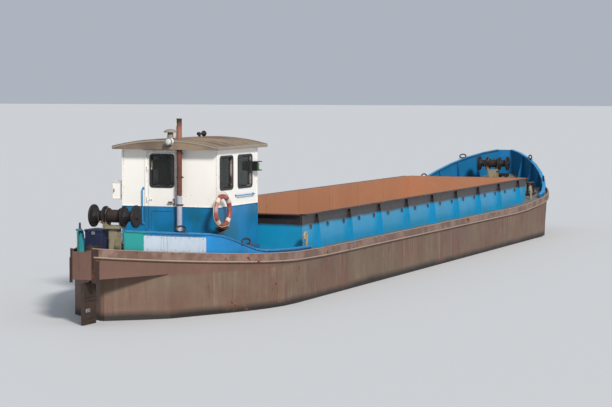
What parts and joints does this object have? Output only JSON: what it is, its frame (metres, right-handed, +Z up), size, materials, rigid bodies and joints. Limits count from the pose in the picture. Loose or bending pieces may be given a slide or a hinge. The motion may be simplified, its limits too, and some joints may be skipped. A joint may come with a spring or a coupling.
{
  "type": "river barge",
  "caption": "Open-hold steel river barge with a small wheelhouse aft, a swim stern with rudder and propeller, a raked bow, coamings round the hold, deck hatches, a winch and a windlass.",
  "frame": {"origin": "middle of the flat bottom, on the bottom plating, halfway between the stern tip and the stem", "axes": "+X forward towards the bow, +Y to port, +Z up"},
  "size_m": [31.6, 5.1, 4.93],
  "materials": {
    "hull_steel": "worn, dried mud and rust streaks",
    "blue_paint": "worn gloss paint with rust at the edges",
    "wheelhouse_paint": "worn gloss paint",
    "grey_paint": "matt deck paint",
    "cream_paint": "worn gloss paint",
    "black_paint": "worn satin paint",
    "rusty_steel": "rusted",
    "propeller_bronze": "dull cast bronze",
    "window_glass": "clear",
    "varnished_wood": "varnished",
    "seat_leather": "worn",
    "lifebuoy_plastic": "sun-faded, with white bands",
    "red_lens": "gloss",
    "green_lens": "gloss"
  },
  "bodies": {
    "hull": {"stern_hull": "hull_steel", "bow_hull": "hull_steel", "port_side_tank": "hull_steel", "starboard_side_tank": "hull_steel", "hold_floor": "rusty_steel", "port_stern_strake": "hull_steel", "starboard_stern_strake": "hull_steel", "port_side_strake": "hull_steel", "starboard_side_strake": "hull_steel", "port_bow_strake": "hull_steel", "starboard_bow_strake": "hull_steel", "port_coaming": "blue_paint", "starboard_coaming": "blue_paint", "aft_coaming": "blue_paint", "forward_coaming": "blue_paint", "port_stern_bulwark": "blue_paint", "starboard_stern_bulwark": "blue_paint", "port_bow_bulwark": "blue_paint", "starboard_bow_bulwark": "blue_paint", "bow_nose_plate": "blue_paint", "engine": "grey_paint", "engine_hatch_frame": "blue_paint", "forepeak_hatch_frame": "blue_paint", "wheelhouse_floor": "blue_paint", "wheelhouse_port_wall": "wheelhouse_paint", "wheelhouse_starboard_wall": "wheelhouse_paint", "wheelhouse_front_wall": "wheelhouse_paint", "wheelhouse_aft_wall": "wheelhouse_paint", "wheelhouse_roof": "grey_paint", "port_window_glass": "window_glass", "starboard_window_glass": "window_glass", "front_window_glass": "window_glass", "helm_console": "varnished_wood", "helm_seat": "seat_leather", "exhaust_pipe": "rusty_steel", "roof_lamp": "wheelhouse_paint", "port_sidelight_screen": "black_paint", "starboard_sidelight_screen": "black_paint", "port_sidelight": "red_lens", "starboard_sidelight": "green_lens", "wall_locker": "wheelhouse_paint", "lifebuoy": "lifebuoy_plastic", "lifebuoy_cradle": "black_paint", "stern_winch_frame": "cream_paint", "stern_locker": "blue_paint", "windlass_frame": "cream_paint", "port_stern_bollards": "black_paint", "starboard_stern_bollards": "black_paint", "port_bow_bollards": "black_paint", "starboard_bow_bollards": "black_paint", "bow_anchor": "black_paint"},
    "rudder": {"rudder": "rusty_steel"},
    "propeller": {"propeller": "propeller_bronze"},
    "helm": {"helm_wheel": "varnished_wood"},
    "door": {"wheelhouse_door": "wheelhouse_paint", "door_glass": "window_glass"},
    "engine_hatch": {"engine_hatch_lid": "grey_paint"},
    "forepeak_hatch": {"forepeak_hatch_lid": "grey_paint"},
    "stern_winch": {"stern_winch_drum": "black_paint"},
    "windlass": {"windlass_drum": "black_paint"}
  },
  "joints": [
    {"name": "rudder_turn", "type": "hinge", "parent": "hull", "child": "rudder", "pos_m": [-15.4, 0, 1], "axis": [0, 0, 1], "range_deg": [-35, 35]},
    {"name": "helm_wheel_turn", "type": "hinge", "parent": "hull", "child": "helm", "pos_m": [-9.93, 0, 2.86], "axis": [1, 0, 0], "range_deg": [-540, 540]},
    {"name": "propeller_spin", "type": "hinge", "parent": "hull", "child": "propeller", "pos_m": [-15, 0, 0.45], "axis": [1, 0, 0], "continuous": true},
    {"name": "wheelhouse_door_swing", "type": "hinge", "parent": "hull", "child": "door", "pos_m": [-11.6165, 0.548, 3], "axis": [0, 0, -1], "range_deg": [0, 110]},
    {"name": "engine_hatch_swing", "type": "hinge", "parent": "hull", "child": "engine_hatch", "pos_m": [-12.67, 0, 2.23], "axis": [0, 1, 0], "range_deg": [0, 100]},
    {"name": "forepeak_hatch_swing", "type": "hinge", "parent": "hull", "child": "forepeak_hatch", "pos_m": [13.34, 0, 2.43], "axis": [0, 1, 0], "range_deg": [0, 100]},
    {"name": "stern_winch_spin", "type": "hinge", "parent": "hull", "child": "stern_winch", "pos_m": [-14.3, 0, 2.9], "axis": [0, 1, 0], "continuous": true},
    {"name": "windlass_spin", "type": "hinge", "parent": "hull", "child": "windlass", "pos_m": [14.25, 0, 2.98], "axis": [0, 1, 0], "continuous": true}
  ],
  "couplings": [
    {"joint": "helm_wheel_turn", "follows": "rudder_turn", "ratio": 15.428}
  ]
}
